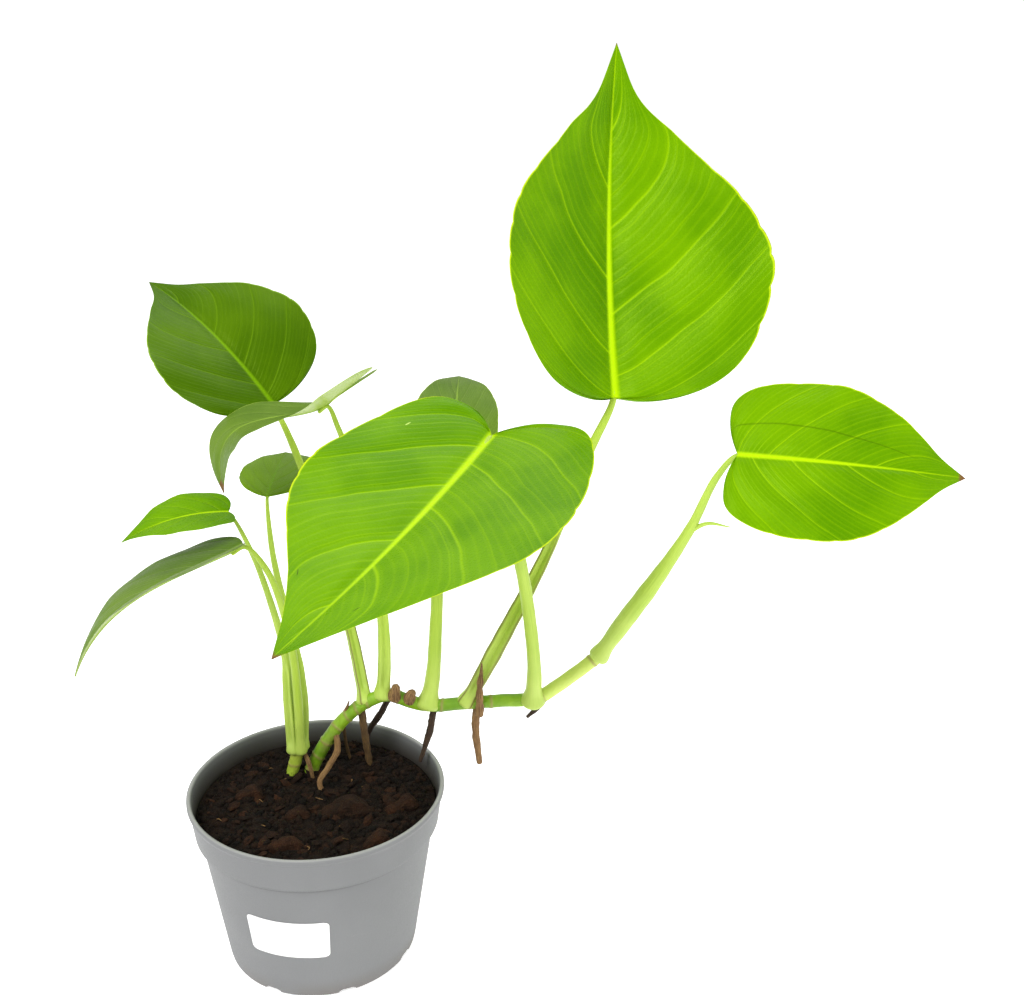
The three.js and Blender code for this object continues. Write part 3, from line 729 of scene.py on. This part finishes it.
def youngEnd(theta, v, length):
    # the last joint of the main stem is young and pale
    return 0.8 * smooth(148, 158, v * length) + 0 * theta


mainCover = stemMaterial("stemGreen", colour(138, 176, 34), colour(104, 148, 20))
shootCover = stemMaterial("stemPale", colour(190, 206, 84), colour(164, 186, 60))
for key, spec, cover, woody in (
    ("main_stem", mainStem, mainCover, woodyShare),
    ("side_shoot", sideShoot, shootCover, nowhere),
):
    makeLimb(key + "_skin", spec, cover, "stem", [key], sides=36, spacing=0.5, shape=stemShape(spec),
             values={"ring": ringsOf(spec), "woody": woody, "pale": youngEnd})


def fibreMaterial(name, light, deep, scale=(0.6, 10, 1), strength=0.6):
    # lengthwise fibres on a tube's own UV map
    material, tree, shader = newMaterial(name, Roughness=0.8)
    streak = ramp(tree, speckle(tree, stretched(tree, ownMap(tree), scale), 3.0, 6.0), 0.35, 0.65)
    spots = useGroup(tree, mottle, blotch=160.0, grain=1200.0)
    cover = blend(tree, streak, deep, light)
    cover = blend(tree, times(tree, spots["patches"], 0.5), cover, deep)
    tree.links.new(cover, shader.inputs["Base Color"])
    finishBump(tree, shader, calc(tree, "ADD", streak, spots["fine"]), strength, 0.0005)
    return material


rootDark = fibreMaterial("rootDark", colour(84, 58, 34), colour(38, 26, 16))
rootTan = fibreMaterial("rootTan", colour(172, 134, 84), colour(108, 74, 42))
rootBrown = fibreMaterial("rootBrown", colour(128, 98, 52), colour(76, 54, 28))
dryHusk = fibreMaterial("dryHusk", colour(196, 154, 98), colour(98, 66, 36), (0.4, 8, 1), 0.8)
roots = {
    "root_tan_ringed": {
        "cover": rootTan, "radii": [1.6, 1.5, 1.2],
        "route": [[5, 27, 97], [7, 20, 91], [3, 14, 84.5], [-0.5, 9, 79.5], [3, 6, 72]],
    },
    "root_fine": {
        "cover": rootBrown, "radii": [0.9, 0.8, 0.7],
        "route": [[9, 29, 102], [9, 34, 87], [11, 38, 72]],
    },
    "root_thick": {
        "cover": rootBrown, "radii": [1.9, 1.8, 1.5],
        "route": [[18, 29, 110], [19.5, 31, 89], [21.5, 33, 70]],
    },
    "root_dark_rear": {
        "cover": rootDark, "radii": [1.5, 1.6, 1.2],
        "route": [[32, 31, 115], [26.5, 38, 101.5], [19, 44, 86.5], [17, 45, 73]],
    },
    "root_over_rim": {
        "cover": rootDark, "radii": [1.6, 1.8, 0.9],
        "route": [[54, 30.5, 110.5], [51, 28, 95.5], [47, 22, 84]],
    },
    "root_hanging": {
        "cover": rootTan, "radii": [1.7, 2.1, 1.8, 1.5],
        "route": [[74.5, 30, 112], [74, 29, 97.5], [76, 28, 80]],
    },
    "root_short": {
        "cover": rootDark, "radii": [1.4, 1.5, 0.9],
        "route": [[109.5, 30, 119], [105.5, 33, 109.5], [99.5, 34, 102.5]],
    },
    "root_of_shoot": {
        "cover": dryHusk, "radii": [1, 1.1, 0.9],
        "route": [[-13, 23, 93], [-8, 20, 86], [-5.5, 17.5, 79], [-5, 17, 72]],
    },
}
remains = {
    "cut_stub_left": {
        "radii": [2.6, 2.9, 2.5, 1.9], "route": [[34.5, 29, 115], [35, 26, 119.5], [35.5, 24.5, 123.5]],
    },
    "cut_stub_right": {
        "radii": [2.4, 2.8, 2.3, 1.7],
        "route": [[41.5, 29.5, 112.5], [42, 26.5, 116.5], [43.5, 25, 120]],
    },
    "dry_bract": {
        "radii": [2.2, 1.9, 1.3, 0.4], "route": [[76, 26, 108], [76, 25.3, 120], [77, 25, 136]],
    },
    "dry_spike": {"radii": [1.1, 1, 0.3], "route": [[10, 28, 104], [11, 27.5, 109], [12.5, 27, 114]]},
}


def knobbly(seed, height):
    # layered noise wrapped round the tube
    def shape(theta, v, length):
        place = np.stack([1.6 * np.cos(theta), 1.6 * np.sin(theta), v * length], -1)
        return height * layered(place, 3.0, 3, seed)
    return shape


for seed, (key, spec) in enumerate(roots.items()):
    makeLimb(key + "_skin", spec, spec["cover"], "aerial_root", [key], spacing=0.5,
             shape=knobbly(seed, 0.16))
for seed, (key, spec) in enumerate(remains.items(), 20):
    makeLimb(key + "_skin", spec, dryHusk, "dry_tissue", [key], spacing=0.3, shape=knobbly(seed, 0.28))
horn = {
    "radii": [1.7, 1.2, 0.8, 0.25],
    "route": [[168, 25.5, 199], [173, 24.5, 205.5], [180, 23.5, 209.5], [190, 22, 208.5]],
}
makeLimb("sheath_tip_skin", horn, stalkPale, "petiole", ["sheath_tip"], spacing=0.5,
         values={"wing": nowhere})
print("stem and roots done")

_, potHigh = (np.array(corner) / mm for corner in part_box("pot"))
potDims = {
    "rim": potHigh[0], "height": potHigh[2], "base": 45.0, "band": 18.4, "bandFoot": 57.2,
    "wallTop": 54.8, "wall": 1.4, "floor": 1.8, "notches": 8, "notchWidth": 7.0, "notchHeight": 2.4,
    "sides": 256,
}


def potWall(z):
    # the outer wall's radius, which grows evenly from the base to the foot of the band
    d = potDims
    return d["base"] + (d["wallTop"] - d["base"]) * z / (d["height"] - d["band"])


def potProfile():
    # half section from the underside's centre, out and up the wall, over the lip and down inside
    d = potDims
    foot = d["height"] - d["band"]
    top, wall = d["height"], d["wall"]
    corners = [
        (0, 0), (30, 0), (d["base"] - 1.2, 0), (d["base"], 0.9), (potWall(3), 3),
        (potWall(foot) - 0.1, foot - 0.6), (d["wallTop"] + 0.5, foot - 0.2),
        (d["bandFoot"] - 0.7, foot + 0.25), (d["bandFoot"], foot + 1.1), (d["rim"] - 1.0, top - 3.2),
        (d["rim"] - 0.35, top - 2.7), (d["rim"], top - 2.0), (d["rim"], top - 0.7),
        (d["rim"] - 0.5, top - 0.1), (d["rim"] - 1.3, top), (d["rim"] - 2.0, top - 0.5),
        (d["rim"] - 2.4, top - 2.5), (d["bandFoot"] - wall, foot + 2),
        (d["wallTop"] - wall, foot - 0.5), (potWall(5) - wall, 5), (potWall(2) - wall - 1, 2),
        (30, d["floor"]), (0, d["floor"]),
    ]
    dense = []
    for (r0, z0), (r1, z1) in zip(corners, corners[1:]):
        steps = max(2, int(np.hypot(r1 - r0, z1 - z0) / 1.5))
        dense += [(r0 + (r1 - r0) * k / steps, z0 + (z1 - z0) * k / steps) for k in range(steps)]
    return np.array([*dense, corners[-1]])


def potMaterial():
    # cloudy grey plastic with scuffs, dust at the foot, an inside darkened by stain and painted shade, a
    # painted shadow line under the band and a painted highlight on the lip
    material, tree, shader = newMaterial("potPlastic", Roughness=0.55, IOR=1.46)
    spots = useGroup(tree, mottle, blotch=14.0, grain=1500.0)
    place = objectPlace(tree)
    scuff = ramp(tree, speckle(tree, stretched(tree, place, (30, 30, 160)), 2.0, 8.0, 0.7), 0.62, 0.8)
    cover = blend(tree, spots["patches"], colour(110, 111, 112), colour(118, 119, 120))
    cover = blend(tree, times(tree, scuff, 0.3), cover, colour(150, 150, 148))
    z = put(tree, "ShaderNodeSeparateXYZ", [place]).outputs[2]
    dust = times(tree, ramp(tree, z, 0.012, 0.0), ramp(tree, spots["patches"], 0.3, 0.9))
    cover = blend(tree, times(tree, dust, 0.4), cover, colour(96, 84, 72))
    # the inner wall darkens downwards: part soil stain, part painted shade in the pot's hollow
    stainAndShade = ramp(tree, z, 0.083, 0.074, 0.45, 1.0)
    cover = blend(tree, times(tree, attribute(tree, "inside"), stainAndShade), cover, colour(58, 54, 50))
    # painted shadow: a dark grey line under the foot of the band
    cover = blend(tree, times(tree, attribute(tree, "creaseShade"), 0.75), cover, colour(50, 50, 50))
    # painted highlight: a pale line along the lip
    cover = blend(tree, times(tree, attribute(tree, "lipHighlight"), 0.5), cover, colour(186, 186, 184))
    tree.links.new(cover, shader.inputs["Base Color"])
    tree.links.new(calc(tree, "MULTIPLY_ADD", spots["fine"], 0.12, 0.48), shader.inputs["Roughness"])
    finishBump(tree, shader, calc(tree, "ADD", spots["fine"], scuff), 0.12, 0.0002)
    return material


def makePot():
    # the half section turned once round, with the foot's edge lifted at the notches
    d = potDims
    profile = potProfile()
    bearing = np.linspace(0, 2 * np.pi, d["sides"], endpoint=False)
    r, a = np.meshgrid(profile[:, 0], bearing, indexing="ij")
    z = np.broadcast_to(profile[:, 1][:, None], r.shape).copy()
    outer = np.arange(len(profile))[:, None] < len(profile) / 2
    # shallow arches lift the foot's edge at equal turns
    pitch = 2 * np.pi / d["notches"]
    fromMiddle = abs(((a / pitch) % 1) - 0.5) * pitch * d["base"]
    arch = smooth(d["notchWidth"] / 2 + 0.5, d["notchWidth"] / 2 - 0.5, fromMiddle)
    arch = arch * (r > 40) * (r < 46) * (z < 2.6)
    z = np.where(outer, np.maximum(z, arch * d["notchHeight"]), z)
    points = np.stack([r * np.cos(a), r * np.sin(a), z], -1)
    foot = d["height"] - d["band"]
    masks = {
        # inside: the inner wall from just under the rim downwards, carrying its stain and painted shade
        "inside": np.where(outer, 0, smooth(d["height"] - 1.5, d["height"] - 5, z)),
        # where the painted shadow line under the band goes
        "creaseShade": np.where(outer, bell(z - foot + 0.3, 0.9), 0),
        # where the painted highlight along the lip goes
        "lipHighlight": bell(z - d["height"], 0.5),
    }
    quads = gridQuads(len(profile), d["sides"])
    return makePiece("nursery_pot", points, quads, potMaterial(), "pot_plastic", ["pot"], values=masks)


def labelMaterial():
    # faintly clouded matt paper
    material, tree, shader = newMaterial("labelPaper", Roughness=0.7)
    spots = useGroup(tree, mottle, blotch=60.0, grain=2500.0)
    cover = blend(tree, spots["patches"], colour(240, 240, 239), colour(250, 250, 250))
    tree.links.new(cover, shader.inputs["Base Color"])
    finishBump(tree, shader, spots["fine"], 0.15, 0.0001)
    return material


label = {
    "width": 38.1, "height": 21.2, "middle": 36.0, "bearing": -98.5, "corner": 2.4, "thickness": 0.16,
    "off": 0.05,
}


def makeLabel():
    # rounded rectangle wrapped on the tapered wall, as a thin closed sheet
    rows, columns = 40, 64
    v, u = np.meshgrid(np.linspace(-1, 1, rows), np.linspace(-1, 1, columns), indexing="ij")
    halfW, halfH, c = label["width"] / 2, label["height"] / 2, label["corner"]
    inset = c - np.sqrt(np.maximum(c * c - np.maximum(abs(v) * halfH - (halfH - c), 0) ** 2, 0))
    x, h = u * (halfW - inset), v * halfH
    slope = (potDims["wallTop"] - potDims["base"]) / (potDims["height"] - potDims["band"])
    z = label["middle"] + h / np.hypot(1, slope)
    turn = np.radians(label["bearing"]) + x / potWall(label["middle"])
    front = potWall(z) + label["off"] + label["thickness"]
    sheet = lambda r: np.stack([r * np.cos(turn), r * np.sin(turn), z], -1)
    points = np.concatenate([sheet(front), sheet(front - label["thickness"])[:, ::-1]], 1)
    hem = (points + points[:, ::-1]) / 2
    closed = np.concatenate([hem[:1], points, hem[-1:]])
    quads = gridQuads(rows + 2, 2 * columns)
    return makePiece("label_sheet", closed, quads, labelMaterial(), "label_paper", ["label"])


makePot()
makeLabel()
print("pot and label done")

soilBuild = {
    "surface": 75.5, "brim": 55.6, "wallGap": 2.2, "rings": 150, "sides": 300,
    "crumbs": 1500, "flakes": 130, "fibres": 14, "chips": 6,
}


def soilMaterial(name, tones, strength=0.9):
    # crumbly cover: dark to light by the tone attribute, with darker patches
    material, tree, shader = newMaterial(name, Specular_IOR_Level=0.2)
    spots = useGroup(tree, mottle, blotch=240.0, grain=1400.0)
    cover = blend(tree, attribute(tree, "tone"), tones[0], tones[1])
    cover = blend(tree, times(tree, spots["patches"], 0.6), cover, tones[2])
    tree.links.new(cover, shader.inputs["Base Color"])
    tree.links.new(ramp(tree, spots["fine"], 0.0, 1.0, 0.7, 0.98), shader.inputs["Roughness"])
    finishBump(tree, shader, calc(tree, "ADD", spots["fine"], spots["patches"]), strength, 0.0008)
    return material


peat = soilMaterial("peat", (colour(16, 10, 6), colour(46, 28, 16), colour(7, 5, 3)))
barkCover = soilMaterial("barkCover", (colour(26, 15, 8), colour(66, 38, 20), colour(14, 9, 5)))
tanFibre = soilMaterial("tanFibre", (colour(112, 84, 52), colour(150, 118, 78), colour(80, 58, 36)), 0.3)


def soilHeight(x, y):
    # lumps of several sizes that die out towards the wall
    place = np.stack([x, y, 0 * x], -1)
    lumps = 1.5 * noise(place, 14, 3) + 1.2 * abs(noise(place, 6, 5))
    lumps = lumps + 0.7 * noise(place, 2.4, 9) + 0.35 * noise(place, 1.1, 11)
    reach = np.hypot(x, y)
    calm = 1 - smooth(50, 55.4, reach)
    return soilBuild["surface"] - 0.3 + lumps * calm - 0.6 * smooth(40, 55, reach)


def makeSoil():
    # one closed grid: the underside's middle, up beside the pot's wall, then in over the lumpy top
    rings, sides = soilBuild["rings"], soilBuild["sides"]
    a = np.linspace(0, 2 * np.pi, sides, endpoint=False)
    r = soilBuild["brim"] * np.linspace(1, 0, rings) ** 0.8
    rr, aa = np.meshgrid(r, a, indexing="ij")
    x, y = rr * np.cos(aa), rr * np.sin(aa)
    top = np.stack([x, y, soilHeight(x, y)], -1)
    low = potDims["floor"]
    gap = soilBuild["wallGap"]
    edges = [(0, low + 0.5), (potWall(low) - gap, low + 0.5), (potWall(60) - gap, 60.0)]
    below = [np.stack([q * np.cos(a), q * np.sin(a), 0 * a + z], -1) for q, z in edges]
    points = np.concatenate([below, top])
    tone = np.concatenate([np.zeros((3, sides)), 0.5 + 0.5 * layered(top, 5, 3, 4)]).clip(0, 1)
    quads = gridQuads(len(points), sides)
    return makePiece("potting_mix", points, quads, peat, "soil", ["potting_soil"], values={"tone": tone})


def roundLump(detail):
    # a sphere's points and triangles, to be squashed and roughened
    b = bmesh.new()
    bmesh.ops.create_icosphere(b, subdivisions=detail, radius=1)
    points = np.array([v.co[:] for v in b.verts])
    faces = np.array([[v.index for v in f.verts] for f in b.faces])
    b.free()
    return points, faces


def scatterLumps(name, lumps, cover, slot, detail=1, rough=0.35, nodes=(), flat=False):
    # many spheres in one mesh, each roughened by noise, squashed to its size, then turned by its two angles
    ball, faces = roundLump(detail)
    count = len(lumps["at"])
    far = np.arange(count)[:, None, None] * 5.3
    wobble = 1 + rough * layered(ball[None] * 1.4 + far, 1.2, 3, 6)
    local = ball[None] * wobble[..., None] * lumps["size"][:, None]
    x, y, z = np.moveaxis(local, -1, 0)
    a, b = lumps["turn"][:, :1], lumps["turn"][:, 1:]
    x, z = x * np.cos(b) + z * np.sin(b), z * np.cos(b) - x * np.sin(b)
    x, y = x * np.cos(a) - y * np.sin(a), x * np.sin(a) + y * np.cos(a)
    points = np.stack([x, y, z], -1) + lumps["at"][:, None]
    every = (faces[None] + (np.arange(count) * len(ball))[:, None, None]).reshape(-1, 3)
    masks = {"tone": np.repeat(lumps["tone"], len(ball))}
    return makePiece(name, points, every, cover, slot, nodes, values=masks, flat=flat)


def scatterPlaces(count, reach):
    # even scatter over the disc of the mix: the radius goes by the square root of an even draw
    a = random.uniform(0, 2 * np.pi, count)
    r = reach * np.sqrt(random.uniform(0, 1, count))
    x, y = r * np.cos(a), r * np.sin(a)
    return np.stack([x, y, soilHeight(x, y)], -1)


def fullTurns(count):
    # angles drawn evenly from a whole turn
    return random.uniform(0, 2 * np.pi, count)


makeSoil()
count = soilBuild["crumbs"]
crumbs = {
    "at": scatterPlaces(count, 54),
    "size": random.uniform(0.5, 2.1, (count, 1)) * random.uniform(0.6, 1.3, (count, 3)),
    "turn": fullTurns((count, 2)),
    "tone": random.uniform(0, 1, count),
}
scatterLumps("peat_crumbs", crumbs, peat, "soil")

count = soilBuild["flakes"]
flatShape = np.array([1.0, 0.62, 0.3])
flakes = {
    "at": scatterPlaces(count, 51) + [0, 0, 0.4],
    "size": random.uniform(1.6, 4.2, (count, 1)) * flatShape * random.uniform(0.8, 1.2, (count, 3)),
    "turn": np.stack([fullTurns(count), random.uniform(-0.5, 0.5, count)], -1),
    "tone": random.uniform(0, 1, count),
}
scatterLumps("bark_flakes", flakes, barkCover, "bark", 2, 0.6, flat=True)

for k in range(1, soilBuild["chips"] + 1):
    # each large chip fills most of the box of its node
    low, high = (np.array(corner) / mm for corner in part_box(f"bark_chip_{k}"))
    chip = {
        "at": ((low + high) / 2)[None] + [0, 0, 0.4],
        "size": ((high - low) / 2)[None] * 0.9,
        "turn": np.array([[0.0, 0.1 * (-1) ** k]]),
        "tone": np.array([0.35 + 0.1 * k]),
    }
    scatterLumps(f"bark_piece_{k}", chip, barkCover, "bark", 3, 0.42, [f"bark_chip_{k}"], True)

for k, place in enumerate(scatterPlaces(soilBuild["fibres"], 48)):
    a = random.uniform(0, 2 * np.pi)
    reach = random.uniform(2, 6)
    step = np.array([np.cos(a), np.sin(a), 0]) * reach
    bow = np.array([-step[1], step[0], 0]) * random.uniform(-0.5, 0.5) + [0, 0, 1.4]
    route = [place - step / 2 + [0, 0, 0.6], place + bow, place + step / 2 + [0, 0, 0.7]]
    spec = {"route": route, "radii": [0.18, 0.24, 0.1]}
    makeLimb(f"fibre_{k}", spec, tanFibre, "soil", sides=6, spacing=0.8, look=(0.3, 0.2, 1),
             values={"tone": lambda theta, v, length: v})
print("potting mix done")

floorMesh = bpy.data.meshes.new("studioFloor")
floorMesh.from_pydata([(-4, -4, 0), (4, -4, 0), (4, 4, 0), (-4, 4, 0)], [], [(0, 1, 2, 3)])
floor = bpy.data.objects.new("studio_floor", floorMesh)
scene.collection.objects.link(floor)
floorPaint = newMaterial(
    "floorPaint", Roughness=0.9, Base_Color=(0.97, 0.97, 0.97, 1),
    Emission_Color=(1, 1, 1, 1), Emission_Strength=0.6,
)
floorMesh.materials.append(floorPaint[0])
floor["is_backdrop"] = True

lamps = {
    "key": {"at": (-0.7, -1.1, 1.5), "size": 1.0, "power": 24.0},
    "fill": {"at": (1.3, -0.8, 0.9), "size": 1.2, "power": 7.0},
    "top": {"at": (0.2, 0.5, 1.6), "size": 1.4, "power": 9.0},
}
middle = Vector((0.08, 0, 0.2))
for key, lamp in lamps.items():
    data = bpy.data.lights.new(key, "AREA")
    data.shape, data.size, data.energy = "DISK", lamp["size"], lamp["power"]
    light = bpy.data.objects.new(key + "_light", data)
    light.location = lamp["at"]
    light.rotation_euler = (middle - Vector(lamp["at"])).to_track_quat("-Z", "Y").to_euler()
    scene.collection.objects.link(light)
world = bpy.data.worlds.new("studioWorld")
world.use_nodes = True
sky = world.node_tree
sky.nodes["Background"].inputs["Color"].default_value = (1, 1, 1, 1)
# the backdrop is white where it is seen and dimmer as a light
backdrop = {"light": 0.55, "seen": 0.5}
seen = put(sky, "ShaderNodeLightPath").outputs["Is Camera Ray"]
strength = calc(sky, "MULTIPLY_ADD", seen, backdrop["seen"], backdrop["light"])
sky.links.new(strength, sky.nodes["Background"].inputs["Strength"])
scene.world = world
scene.view_settings.view_transform = "Standard"

camera = {"at": (90.5, -482.0, 397.0), "pitch": 19.2, "roll": 0.7, "lens": 41.48}
pitch, roll = np.radians(camera["pitch"]), np.radians(camera["roll"])
forward = np.array([0, np.cos(pitch), -np.sin(pitch)])
level = np.array([1.0, 0, 0])
upright = np.cross(level, forward)
rightward = np.cos(roll) * level + np.sin(roll) * upright
upward = np.cos(roll) * upright - np.sin(roll) * level
cameraData = bpy.data.cameras.new("view")
cameraData.lens = camera["lens"]
cameraData.clip_start = 0.01
viewCamera = bpy.data.objects.new("view_camera", cameraData)
turned = Matrix(np.stack([rightward, upward, -forward], -1).tolist()).to_4x4()
viewCamera.matrix_world = Matrix.Translation(Vector(camera["at"]) * mm) @ turned
scene.collection.objects.link(viewCamera)
scene.camera = viewCamera
print("studio done")

bpy.context.view_layer.update()
low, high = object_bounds()
